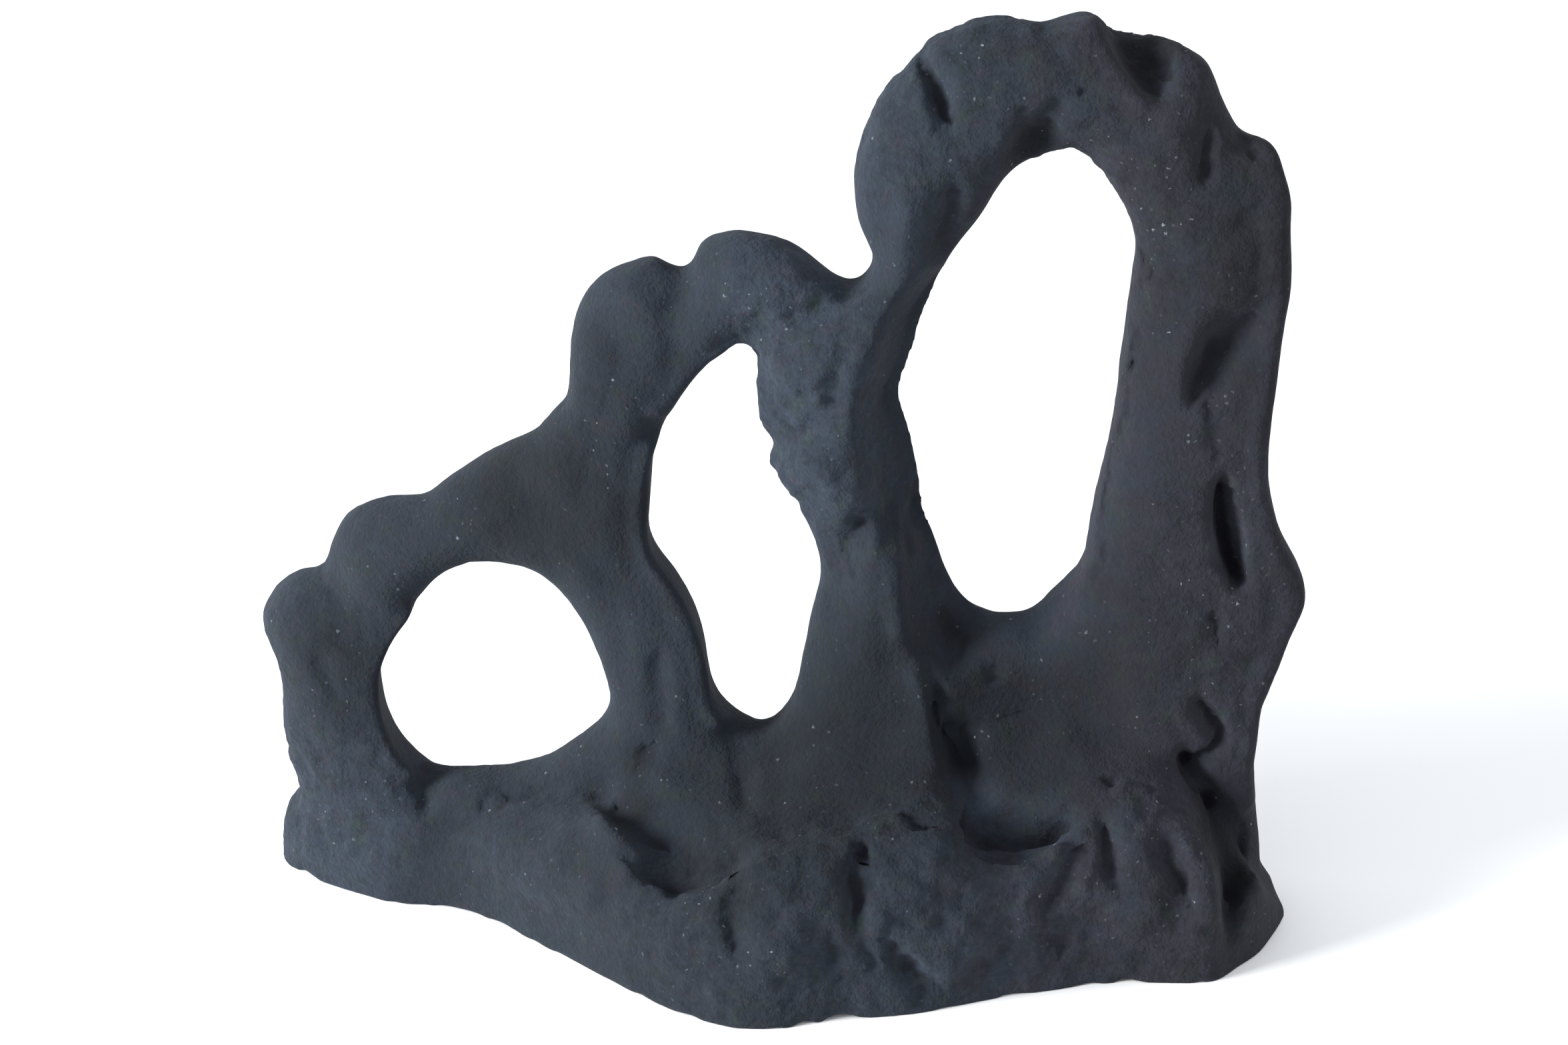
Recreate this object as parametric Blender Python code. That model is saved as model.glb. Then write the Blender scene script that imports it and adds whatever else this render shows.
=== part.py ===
"""Holey rock: an upright, dark rock wall with three windows through it, on a thick ledged foot.

It is one solid, formed as one piece. Units are metres, +Z is up, and the rock rests on z = 0.
The wall runs along X; its left wing swings back towards +Y. Sizes are given in millimetres.
"""
import bmesh
import bpy
import numpy as np
from mathutils import Vector, noise

MM = 0.001

# ---- driving dimensions -------------------------------------------------------------------

WALL_HALF_THICKNESS = 14.0      # mm, from the wall's middle surface to its front or back
WALL_EDGE_REACH = 15.0          # mm over which the wall rounds off towards an edge
WALL_EDGE_FLAT = 0.22           # share of the thickness that is left at the very edge
WALL_FORWARD_Y = 12.0           # mm, where the middle surface of the straight part stands
WING_START_X = 20.0             # mm, left of this the wall swings back
WING_LENGTH = 130.0             # mm
WING_SWING = 24.0               # mm that the wing goes back over its length
WING_POWER = 1.3
BELOW_FLOOR = 25.0              # mm of wall that is made and then cut off flat
CENTRE = (-3.0, 2.2)            # mm, the middle of the rock's box in the outlines' x and y

FOOT_EDGE_REACH = 13.0          # mm over which the foot's top rounds down to its side
FOOT_EDGE_UPRIGHT = 0.40        # share of the foot's height that stands upright at its edge
FOOT_SPOT_BLEND = 11.0          # mm, how softly the spot heights below run into each other
FOOT_BLANK_HALF = 20.0          # mm, half the thickness of the plate that the foot is made from
FOOT_BELOW_FLOOR = 8.0          # mm of foot that is made and then cut off flat

FIRST_VOXEL = 2.4               # mm, net of the two blanks
BODY_VOXEL = 1.8                # mm, net of the joined body
TRIANGLE_GOAL = 11200

ROLL_HEIGHT = 1.1               # mm, broad unevenness of the whole surface
ROLL_LENGTH = 26.0              # mm
KNUBBLE_HEIGHT = 0.55           # mm, small unevenness
KNUBBLE_LENGTH = 9.0            # mm
SURFACE_REACH = 14.0            # mm that a dent's surface may lie off the dent's path
SMOOTHING = {"factor": 0.5, "iterations": 4}
FLOOR_SNAP = 0.02               # mm over the floor within which a point is set down on it
SLIVER = 0.1                    # mm, shorter edges are closed up

# The wall seen from the front, as (x, z) points in mm, from the left foot over the top.
LEFT_FOOT = [(-131.2, 1), (-131.6, 9), (-126.5, 17), (-127.5, 22), (-128.5, 30), (-131, 38),
             (-131, 44)]
LEFT_KNOB = [(-130, 50), (-131.5, 57), (-135, 66), (-133.5, 72), (-129.5, 77), (-123, 81.3), (-118.5, 80.3)]
LOWER_ARCH = [(-116.5, 85), (-115.5, 90), (-112.5, 96.5), (-108, 99.5), (-103, 101.5),
              (-96, 103), (-89, 104)]
SADDLE = [(-84.9, 109), (-78.5, 114), (-70, 119), (-61, 123.5), (-57.5, 128.5), (-53, 132), (-52, 137)]
MIDDLE_LOBE = [(-52, 144), (-51, 151), (-49, 158), (-43, 164.5), (-36, 168), (-29, 169.6)]
MIDDLE_ARCH = [(-26.4, 164.5), (-22.4, 166.5), (-21.5, 172.5), (-17, 175), (-11, 176.5),
               (-4, 175.5), (2, 173.5)]
THROAT = [(8, 170), (13, 166), (17, 164.5), (20.5, 167.5), (20.5, 172), (18, 177), (16, 183)]
TOWER_LEFT = [(16, 191), (17, 198), (19.5, 206), (24, 212), (29, 217.5), (34, 222.5), (42, 225.5)]
CROWN = [(51, 227.5), (59, 226), (65, 227.5), (71, 229.4), (75, 226), (84, 224.1), (93, 220.5), (98, 218)]
TOWER_RIGHT = [(99.5, 212.5), (103.5, 206), (107.5, 200.5), (111.5, 201), (115, 198), (118, 190)]
RIGHT_SIDE = [(119, 178), (119, 164), (117.5, 150), (116.5, 134), (116, 120), (118, 110), (121.5, 101)]
RIGHT_KNOB = [(126.5, 95), (128.5, 87.5), (125.8, 81), (123.5, 74), (120.4, 64), (117.9, 54), (117.7, 42)]
RIGHT_FOOT = [(118.5, 34), (120.5, 21), (121.6, 8), (122.5, 0)]

LEFT_WINDOW = [
    (-104.5, 56), (-102, 65), (-96, 74), (-90.5, 81.5), (-82.5, 87.5), (-75, 89.5), (-65, 88),
    (-57, 83), (-51, 75.5), (-46.5, 66), (-44, 57.5), (-45, 48.5), (-50.5, 42), (-59.5, 35),
    (-70, 30.9), (-80, 30.5), (-90, 29), (-98.5, 34), (-103, 42.5), (-104.5, 50)]
MIDDLE_WINDOW = [
    (-9, 151), (-6.5, 147.5), (-6, 140), (-7, 133), (-4, 128), (-0.6, 124), (-4.5, 120),
    (-1.5, 116), (3.5, 110.5), (7, 103), (10, 92), (7.7, 83), (6.5, 74), (4, 64), (1, 55),
    (-4.5, 48.5), (-10.5, 50), (-15.5, 54.5), (-18.5, 61), (-19, 70), (-22.5, 80), (-26, 88),
    (-32.5, 97), (-33, 107), (-32, 119), (-29.5, 127), (-25, 135.5), (-21.5, 142), (-15.5, 147.5)]
RIGHT_WINDOW = [
    (68, 199), (72.5, 194.8), (77, 189.5), (80, 183), (83, 174), (82, 165), (82, 157), (81, 147),
    (80.5, 138), (79.5, 127), (77, 114), (75, 101), (72.5, 93), (67, 86), (61.5, 79.9), (54, 79),
    (46.5, 81), (41.5, 87.5), (38, 97), (34.5, 107), (32.6, 118), (29.8, 130), (27, 138), (30.5, 146),
    (32.5, 156), (36.4, 164.5), (40.5, 175), (46.5, 181.5), (49.5, 187), (54, 192.5), (61, 196)]

# The foot seen from above, as (x, y) points in mm, -Y being the front, from the left corner on.
FOOT_FRONT = [
    (-132, 38), (-125.8, 27.4), (-115, 19.2), (-101, 11.2), (-88, 9.8), (-77, 4.6),
    (-64, -8.4), (-50, -20.8),
    (-35, -36), (-21, -47), (-6, -52), (8, -50), (20, -47), (37, -43), (57, -36), (74, -31),
    (90, -30), (104, -29.7), (114.5, -19.8), (121.8, -9), (127.8, 6)]
FOOT_BACK = [
    (126, 16), (119.5, 26), (106, 32), (85, 33), (60, 34), (35, 37), (12, 40), (-10, 40),
    (-35, 42), (-60, 46), (-85, 51), (-107, 56), (-124, 57), (-133, 50)]

# Heights of the foot's top, as (x, y, height) in mm: the rim of the ledge, the ledge behind it,
# the slope up to the wall, and the low strip behind the wall.
FOOT_SPOTS = [
    (-127, 36, 18), (-104, 20, 20), (-85, 18, 20), (-66, 4, 26), (-55, -8, 33), (-43, -20, 41),
    (-37, -29, 38), (-25, -40, 30), (-14, -42, 36), (0, -42, 39), (19, -38, 41), (34, -33, 42),
    (44, -31, 36), (54, -28, 32), (64, -27, 35), (75, -25, 39), (95, -22, 38), (108, -12, 34),
    (115, -1, 18), (122, 2, 6), (126, 8, 4), (120, 20, 10),
    (-50, 8, 32), (-34, -8, 40), (-22, -24, 33), (-5, -22, 38), (12, -22, 40), (30, -18, 44),
    (48, -15, 39), (62, -14, 42), (80, -10, 48), (100, -4, 46),
    (-60, 22, 28), (-32, 3, 46), (-8, 0, 44), (15, -2, 54), (32, -4, 60), (52, -3, 64),
    (68, -2, 64), (86, 2, 58), (104, 8, 44),
    (-120, 46, 22), (-80, 36, 22), (-40, 28, 28), (-8, 26, 34), (30, 26, 42), (60, 24, 44),
    (95, 22, 32), (-100, 52, 14), (-50, 42, 16), (0, 38, 18), (50, 33, 20), (100, 30, 16)]


# Dents and lumps. Each is a short path over the surface: points (x, y, z, half width) in mm, a
# depth in mm (below zero it is a lump), the way it is pressed in, and how its section looks.
# lean moves the deepest line to one side: -1 < lean < 0 makes the side on the left of the
# upward way steep and lets the other side rise slowly; sharpness 1 gives a crisp rim, 2 a soft one.
FROM_FRONT = (0.0, 1.0, 0.0)
FROM_FRONT_TOP = (0.0, 0.64, -0.77)
FROM_BACK = (0.0, -1.0, 0.0)

TOWER_MARKS = [
    # slot on the shoulder, notch in the crown, hollows over and beside the right window
    dict(path=[(36.5, -1, 206.5, 2.2), (34.5, 0, 212.5, 3.4), (31, 4, 219, 1.6)], depth=5, lean=-0.4),
    dict(path=[(84, -1, 213.5, 3), (80, 1, 219, 7), (76.5, 5, 225, 7)], depth=8.5, lean=-0.5,
         into=(0.0, 0.9, -0.44)),
    dict(path=[(69.5, -2, 213.5, 3)], depth=1.2),
    dict(path=[(61, 1, 222, 2.5)], depth=1),
    dict(path=[(54.5, 3, 197, 5), (57.5, 0, 202, 6)], depth=5.5, sharpness=1.2),
    dict(path=[(58, 0, 203, 4.5), (63, -2, 210, 3)], depth=2.4, sharpness=1.4),
    dict(path=[(54.5, -2, 207.5, 2.2)], depth=2),
    dict(path=[(36, 1, 176.5, 3.5), (36.5, 0, 182, 3.5), (38.5, -1, 191, 2)], depth=4, lean=-0.3),
    dict(path=[(97, -1, 192.5, 1.4), (96, 0, 202, 2.2)], depth=2.8, lean=-0.2),
    dict(path=[(110, 4, 199, 4)], depth=3.5, into=(0.0, 0.8, -0.6)),
    dict(path=[(106.5, -2, 184, 5)], depth=1.1),
    # rib between the tower's outer lobe and the window
    dict(path=[(27, -1, 172, 4), (28, -1, 190, 5)], depth=-1.6, sharpness=2),
    # hollow on the right band, its left edge steep
    dict(path=[(96.5, -2, 141, 3), (98.5, -2, 147, 6.5), (103.5, -2, 157, 6.5)], depth=6.5, lean=-0.4),
    # deep slot below it
    dict(path=[(110, -2, 93.5, 1.8), (107.8, -2, 98.5, 3), (105.6, -2, 108, 2.9),
               (104.6, -2, 118.5, 1.8)], depth=10, sharpness=0.8),
    dict(path=[(104, -2, 79.5, 1.6), (104, -2, 84.5, 1.6)], depth=1.8)]

PILLAR_MARKS = [
    # two lobes beside the middle window and the smooth facet that falls to the right window
    dict(path=[(4, 1, 146, 10)], depth=-2.4, sharpness=1.6),
    dict(path=[(7, 0, 122, 10)], depth=-2.6, sharpness=1.6),
    dict(path=[(-3, 3, 129, 2.5), (6, 0, 132, 3)], depth=2, sharpness=1.5),
    dict(path=[(32, 0, 112, 13), (32, 0, 132, 15), (38, 0, 156, 13)], depth=8, sharpness=1.0),
    dict(path=[(14, 0, 97.5, 2.5), (15.5, -1, 103, 4), (18, -1, 109, 4.5)], depth=6),
    dict(path=[(14, -2, 152, 3.2)], depth=3),
    dict(path=[(11, -2, 138.5, 1.5), (11.5, -2, 147.5, 2)], depth=2.4),
    dict(path=[(4.5, 0, 143.5, 2.2)], depth=2),
    dict(path=[(8.5, -1, 134, 2)], depth=1.8),
    dict(path=[(0.5, 1, 152, 2.6)], depth=1.8),
    # column lobe and the valley between it and the right window
    dict(path=[(21, -1, 78, 8), (22, -1, 92, 8), (24, -1, 102, 6.5)], depth=-2.4, sharpness=1.4),
    dict(path=[(37, 0, 79, 9), (34, 0, 92, 8), (31.5, 1, 106, 6.5)], depth=7, lean=-0.35, sharpness=1.2),
    dict(path=[(43.5, 2, 78, 9)], depth=4.5),
    # crease where the middle arch runs into the pillar
    dict(path=[(-4, 0, 155, 2.2), (4, -2, 158.5, 2.6), (12, -2, 162, 2.6), (17.5, -1, 165, 2.4)],
         depth=2.6, sharpness=1.4)]

SCOOP_MARKS = [
    # smooth scoop under the right window, crisp along its left edge, with a deep pit at its foot
    dict(path=[(56, -2, 50, 27), (58, -2, 66, 24)], depth=5.5, lean=-0.3, sharpness=1.0),
    dict(path=[(44, -11, 43.5, 5.5), (42, -8, 48.5, 6), (39, -5, 54.5, 3.6)], depth=13,
         sharpness=0.9),
    dict(path=[(39, -5, 54.5, 3), (37, -2, 66, 2)], depth=6),
    # ridge that runs down along the scoop's left edge
    dict(path=[(35.5, -8, 56, 3), (31.5, -2, 70, 4), (27, -2, 83, 3.5)], depth=-1.8, sharpness=1.5),
    dict(path=[(35, -13, 46.5, 2.4)], depth=3.5),
    dict(path=[(44, -1, 70.5, 1.6), (40, 1, 80, 2)], depth=1.8),
    dict(path=[(50.5, -2, 69.5, 2)], depth=1.6)]

LEFT_MARKS = [
    dict(path=[(-111, 23, 69, 3), (-111.5, 24, 78, 4), (-117, 31, 85, 3.6)], depth=4.2),
    dict(path=[(-116, 23, 53, 4), (-116, 23, 61, 4)], depth=1.5),
    dict(path=[(-106, 22, 72, 1.8), (-105.5, 22, 79, 1.8)], depth=1.3),
    dict(path=[(-92, 20, 22.5, 2), (-92.5, 23, 27, 4), (-93, 27, 31.5, 5.5)], depth=5),
    dict(path=[(-74, 17, 28.5, 2), (-63, 14, 30, 2)], depth=1.4, into=FROM_FRONT_TOP),
    dict(path=[(-62, 8, 111, 12)], depth=1.8, sharpness=2),
    dict(path=[(-26, 4, 148, 5), (-25, 4, 166, 6)], depth=2.2, sharpness=1.6),
    dict(path=[(-32, 4, 127, 4), (-30, 4, 134, 4)], depth=1.6),
    dict(path=[(-31, 5, 53, 4), (-31, 5, 70, 4.5)], depth=2.4, sharpness=1.5)]

LEDGE_MARKS = [
    # hollows behind the rim of the ledge, each with a crisp lip on its outer side
    dict(path=[(-27, -25, 33, 6), (-36, -16, 38, 9), (-46, 3, 34, 6)], depth=8,
         into=FROM_FRONT_TOP, lean=-0.4),
    dict(path=[(-11, -34, 36, 4), (-18, -36, 33, 8), (-25, -34, 31, 9), (-33, -28, 31, 5)],
         depth=8.5, into=FROM_FRONT_TOP, lean=-0.4),
    dict(path=[(66, -22, 37, 5), (54, -22, 35, 8.5), (44, -23, 38, 5)], depth=8,
         into=FROM_FRONT_TOP, lean=-0.4),
    dict(path=[(-35.5, 3, 44, 3)], depth=2.6),
    dict(path=[(-9.5, -13, 40, 4), (-10, -4, 42, 4), (-11.5, 6, 49, 4)], depth=2.2,
         into=FROM_FRONT_TOP, sharpness=1.6),
    dict(path=[(36, -29, 41, 1.6), (28.5, -25, 43, 1.6)], depth=2.4, into=FROM_FRONT_TOP),
    dict(path=[(18, -38, 39.5, 3)], depth=2.4, into=FROM_FRONT_TOP),
    dict(path=[(79.5, -13, 47.5, 2)], depth=1.8, into=FROM_FRONT_TOP)]

FOOT_MARKS = [
    dict(path=[(17.5, -46, 26.5, 3.6), (15, -44, 34, 4.2)], depth=2.8, sharpness=1.5),
    dict(path=[(-12, -48, 25, 3.4), (-12, -46, 32.5, 3.6)], depth=2.0, sharpness=1.5),
    dict(path=[(11, -49, 13, 3), (11, -49, 21, 3)], depth=1.5, sharpness=1.5),
    dict(path=[(33.5, -44, 6, 3), (28.5, -46, 10.5, 4), (25, -46, 17, 3)], depth=2.8, lean=-0.3),
    dict(path=[(96.5, -28, 23, 3), (91, -25, 34, 3.6)], depth=3.8, lean=-0.2),
    dict(path=[(78, -27, 29, 3.4), (77, -26, 38, 3.8)], depth=3.8, lean=-0.2),
    dict(path=[(63.5, -32, 23, 3.4), (70, -27, 33, 4.2)], depth=3.8, sharpness=1.3),
    dict(path=[(63, -33, 16, 3)], depth=2.4),
    dict(path=[(-1, -50, 20, 9)], depth=-2.6, sharpness=1.6),
    dict(path=[(43, -42, 20, 10)], depth=-2.6, sharpness=1.6),
    dict(path=[(85, -31, 17, 9)], depth=-2.4, sharpness=1.6),
    # crescent groove and deep cleft at the right end
    dict(path=[(97.5, -5, 45, 1.8), (102.5, -3, 45.5, 2), (106, -2, 48, 2.4), (107.5, -1, 52, 2.6),
               (105, -1, 57.5, 2.2), (101.5, -1, 62, 1.6)], depth=4.2),
    dict(path=[(107.5, -25, 13, 3), (108, -21, 22, 5.5), (107, -17, 30, 6.5), (102.5, -13, 36, 5),
               (99.5, -9, 41, 3.4), (97.5, -5, 46, 2.4)], depth=11, lean=-0.5)]

BACK_MARKS = [
    dict(path=[(55, 26, 214, 9), (72, 26, 212, 8)], depth=3, into=FROM_BACK, sharpness=1.5),
    dict(path=[(104, 26, 168, 6), (100, 26, 188, 5)], depth=3.5, into=FROM_BACK),
    dict(path=[(98, 26, 118, 8), (101, 26, 138, 6)], depth=4, into=FROM_BACK, sharpness=1.3),
    dict(path=[(92, 26, 74, 10), (70, 27, 62, 12)], depth=4.5, into=FROM_BACK, sharpness=1.4),
    dict(path=[(26, 26, 196, 5)], depth=2.5, into=FROM_BACK),
    dict(path=[(18, 26, 148, 6), (15, 26, 130, 5)], depth=3, into=FROM_BACK, sharpness=1.4),
    dict(path=[(20, 26, 92, 8), (26, 27, 70, 9)], depth=3.5, into=FROM_BACK, sharpness=1.4),
    dict(path=[(-38, 34, 150, 6), (-44, 36, 138, 6)], depth=3, into=FROM_BACK, sharpness=1.5),
    dict(path=[(-58, 40, 108, 9)], depth=3, into=FROM_BACK, sharpness=1.5),
    dict(path=[(-112, 50, 84, 5), (-118, 52, 70, 5)], depth=2.5, into=FROM_BACK),
    dict(path=[(-33, 38, 62, 6), (-36, 39, 42, 7)], depth=3, into=FROM_BACK, sharpness=1.4),
    dict(path=[(-90, 45, 22, 6), (-70, 42, 24, 6)], depth=2.5, into=FROM_BACK)]


# ---- small tools --------------------------------------------------------------------------

def smooth_loop(points, steps=4):
    """A closed smooth curve through the points, as an array of points."""
    corners = np.array(points, dtype=float)
    before = np.roll(corners, 1, axis=0)
    after = np.roll(corners, -1, axis=0)
    beyond = np.roll(corners, -2, axis=0)
    rows = []
    for step in range(steps):
        t = step / steps
        rows.append(0.5 * (2 * corners + (after - before) * t
                           + (2 * before - 5 * corners + 4 * after - beyond) * t ** 2
                           + (3 * corners - before - 3 * after + beyond) * t ** 3))
    return np.stack(rows, axis=1).reshape(-1, 2)


def blank(name, loops, half_height):
    """A flat plate in the XY plane with the first loop as its rim and the others as holes."""
    curve = bpy.data.curves.new(name, "CURVE")
    curve.dimensions = "2D"
    curve.fill_mode = "BOTH"
    curve.extrude = half_height
    for loop in loops:
        spline = curve.splines.new("POLY")
        spline.points.add(len(loop) - 1)
        for point, (u, v) in zip(spline.points, loop):
            point.co = (u, v, 0.0, 1.0)
        spline.use_cyclic_u = True
    guide = bpy.data.objects.new(name, curve)
    bpy.context.scene.collection.objects.link(guide)
    mesh = evaluated_mesh(guide)
    bpy.data.objects.remove(guide)
    welded = bmesh.new()
    welded.from_mesh(mesh)
    bmesh.ops.remove_doubles(welded, verts=welded.verts, dist=1e-4)
    bmesh.ops.recalc_face_normals(welded, faces=welded.faces)
    welded.to_mesh(mesh)
    welded.free()
    return mesh


def evaluated_mesh(thing):
    """The mesh that an object has after its modifiers."""
    graph = bpy.context.evaluated_depsgraph_get()
    return bpy.data.meshes.new_from_object(thing.evaluated_get(graph))


def with_modifiers(mesh, *settings):
    """The mesh after a stack of modifiers, each given as (type, values)."""
    holder = bpy.data.objects.new("holder", mesh)
    bpy.context.scene.collection.objects.link(holder)
    for kind, values in settings:
        modifier = holder.modifiers.new(kind.lower(), kind)
        for key, value in values.items():
            setattr(modifier, key, value)
    result = evaluated_mesh(holder)
    bpy.data.objects.remove(holder)
    return result


def points_of(mesh):
    """The mesh's points as an array."""
    flat = np.empty(len(mesh.vertices) * 3)
    mesh.vertices.foreach_get("co", flat)
    return flat.reshape(-1, 3)


def normals_of(mesh):
    """The mesh's point normals as an array."""
    flat = np.empty(len(mesh.vertices) * 3)
    mesh.vertex_normals.foreach_get("vector", flat)
    return flat.reshape(-1, 3)


def set_points(mesh, points):
    """Moves the mesh's points to the given places."""
    mesh.vertices.foreach_set("co", points.ravel())
    mesh.update()


def distance_to(points, samples):
    """For each 2-D point the distance to the nearest sample."""
    nearest = np.empty(len(points))
    for start in range(0, len(points), 4000):
        chunk = points[start:start + 4000]
        gaps = chunk[:, None, :] - samples[None, :, :]
        nearest[start:start + 4000] = np.sqrt((gaps ** 2).sum(axis=2).min(axis=1))
    return nearest


def rounding(distance, reach, at_edge):
    """How full a rounded section is at a distance from its edge: at_edge there, 1 inside."""
    inward = 1.0 - np.clip(distance / reach, 0.0, 1.0)
    return at_edge + (1.0 - at_edge) * np.sqrt(1.0 - inward ** 2)


def fade(values, low, high):
    """A soft step from 0 at low to 1 at high."""
    t = np.clip((values - low) / (high - low), 0.0, 1.0)
    return t * t * (3.0 - 2.0 * t)


# ---- the two blanks -----------------------------------------------------------------------

def wall_middle(x):
    """The y of the wall's middle surface at x."""
    swing = np.maximum(0.0, (WING_START_X - x) / WING_LENGTH) ** WING_POWER
    return WALL_FORWARD_Y + WING_SWING * swing


def wall_mesh():
    """The wall with its windows, rounded towards every edge, reaching below the floor."""
    rim = (LEFT_FOOT + LEFT_KNOB + LOWER_ARCH + SADDLE + MIDDLE_LOBE + MIDDLE_ARCH + THROAT
           + TOWER_LEFT + CROWN + TOWER_RIGHT + RIGHT_SIDE + RIGHT_KNOB + RIGHT_FOOT)
    right_end = RIGHT_FOOT[-1][0]
    left_end = LEFT_FOOT[0][0]
    rim = rim + [(right_end, -BELOW_FLOOR), (left_end, -BELOW_FLOOR)]
    loops = [smooth_loop(rim)]
    for window in (LEFT_WINDOW, MIDDLE_WINDOW, RIGHT_WINDOW):
        loops.append(smooth_loop(window))
    half = WALL_HALF_THICKNESS
    plate = blank("wall", loops, half)
    plate = with_modifiers(plate, ("REMESH", {"mode": "VOXEL", "voxel_size": FIRST_VOXEL}))
    points = points_of(plate)
    samples = np.vstack([smooth_loop(loop, 3) for loop in loops])
    depth = distance_to(points[:, :2], samples)
    share = np.clip(points[:, 2] / half, -1.0, 1.0)
    fullness = rounding(depth, WALL_EDGE_REACH, WALL_EDGE_FLAT)
    x = points[:, 0]
    y = wall_middle(x) - share * half * fullness
    set_points(plate, np.column_stack([x, y, points[:, 1]]))
    return plate


def foot_height(x, y):
    """The height of the foot's top, blended from the spot heights."""
    spots = np.array(FOOT_SPOTS, dtype=float)
    gaps = (x[:, None] - spots[None, :, 0]) ** 2 + (y[:, None] - spots[None, :, 1]) ** 2
    weights = 1.0 / (gaps + FOOT_SPOT_BLEND ** 2) ** 2
    return (weights * spots[None, :, 2]).sum(axis=1) / weights.sum(axis=1)


def foot_mesh():
    """The foot with its ledge, reaching a little below the floor."""
    loop = smooth_loop(FOOT_FRONT + FOOT_BACK)
    slab = blank("foot", [loop], FOOT_BLANK_HALF)
    slab = with_modifiers(slab, ("REMESH", {"mode": "VOXEL", "voxel_size": FIRST_VOXEL}))
    points = points_of(slab)
    depth = distance_to(points[:, :2], smooth_loop(FOOT_FRONT + FOOT_BACK, 12))
    share = np.clip(points[:, 2] / FOOT_BLANK_HALF, -1.0, 1.0)
    fullness = rounding(depth, FOOT_EDGE_REACH, FOOT_EDGE_UPRIGHT)
    top = foot_height(points[:, 0], points[:, 1]) * fullness
    height = np.where(share > 0.0, share * top, share * FOOT_BELOW_FLOOR)
    set_points(slab, np.column_stack([points[:, :2], height]))
    return slab


def joined(meshes):
    """One mesh with all the given bodies, normals facing out."""
    body = bmesh.new()
    for mesh in meshes:
        body.from_mesh(mesh)
    bmesh.ops.recalc_face_normals(body, faces=body.faces)
    result = bpy.data.meshes.new("joined")
    body.to_mesh(result)
    body.free()
    return result


# ---- the surface --------------------------------------------------------------------------

def press(mesh, path, depth, into=FROM_FRONT, lean=0.0, sharpness=1.2):
    """Presses a dent (or raises a lump) along a path into the surface that faces it."""
    points = points_of(mesh)
    way = np.array(into) / np.linalg.norm(into)
    rows = np.array(path, dtype=float)
    right = np.cross(way, (0.0, 0.0, 1.0))
    right = right / np.linalg.norm(right)
    up = np.cross(right, way)
    flat = np.column_stack([points @ right, points @ up])
    knots = np.column_stack([rows[:, :3] @ right, rows[:, :3] @ up])
    sink = points @ way
    share = np.zeros(len(points))
    for first in range(max(1, len(rows) - 1)):
        last = min(first + 1, len(rows) - 1)
        run = knots[last] - knots[first]
        length = max(np.linalg.norm(run), 1e-6)
        along = np.clip(((flat - knots[first]) @ run) / length ** 2, 0.0, 1.0)
        if first == last:
            along = np.zeros(len(points))
        offset = flat - knots[first] - along[:, None] * run
        side = (offset[:, 0] * run[1] - offset[:, 1] * run[0]) / length
        reach = rows[first, 3] + along * (rows[last, 3] - rows[first, 3])
        reach = np.where(side < 0.0, reach * (1.0 + lean), reach * (1.0 - lean))
        near = 1.0 - np.clip((offset ** 2).sum(axis=1) / reach ** 2, 0.0, 1.0)
        level = rows[first, :3] @ way + along * ((rows[last, :3] - rows[first, :3]) @ way)
        close = 1.0 - fade(np.abs(sink - level), 0.7 * SURFACE_REACH, SURFACE_REACH)
        share = np.maximum(share, near ** sharpness * close)
    facing = fade(-(normals_of(mesh) @ way), -0.05, 0.30)
    set_points(mesh, points + np.outer(depth * share * facing, way))


def unevenness(mesh):
    """Broad rolls and small knubbles all over."""
    points = points_of(mesh)
    normals = normals_of(mesh)
    heights = np.empty(len(points))
    for index, point in enumerate(points):
        place = Vector(point)
        roll = noise.noise(place / ROLL_LENGTH)
        knubble = noise.noise(place / KNUBBLE_LENGTH + Vector((7.0, 3.0, 5.0)))
        heights[index] = ROLL_HEIGHT * roll + KNUBBLE_HEIGHT * knubble
    set_points(mesh, points + normals * heights[:, None])


def cut_flat(mesh):
    """Cuts the body off at z = 0 and closes it with a flat face."""
    body = bmesh.new()
    body.from_mesh(mesh)
    everything = body.verts[:] + body.edges[:] + body.faces[:]
    bmesh.ops.bisect_plane(body, geom=everything, dist=1e-3, plane_co=(0, 0, 0),
                           plane_no=(0, 0, -1), clear_outer=True)
    for vert in body.verts:
        if vert.co.z < FLOOR_SNAP:
            vert.co.z = 0.0
    rim = [edge for edge in body.edges if edge.is_boundary]
    bmesh.ops.holes_fill(body, edges=rim, sides=0)
    bmesh.ops.dissolve_degenerate(body, edges=body.edges, dist=SLIVER)
    bmesh.ops.recalc_face_normals(body, faces=body.faces)
    body.to_mesh(mesh)
    body.free()


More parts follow.
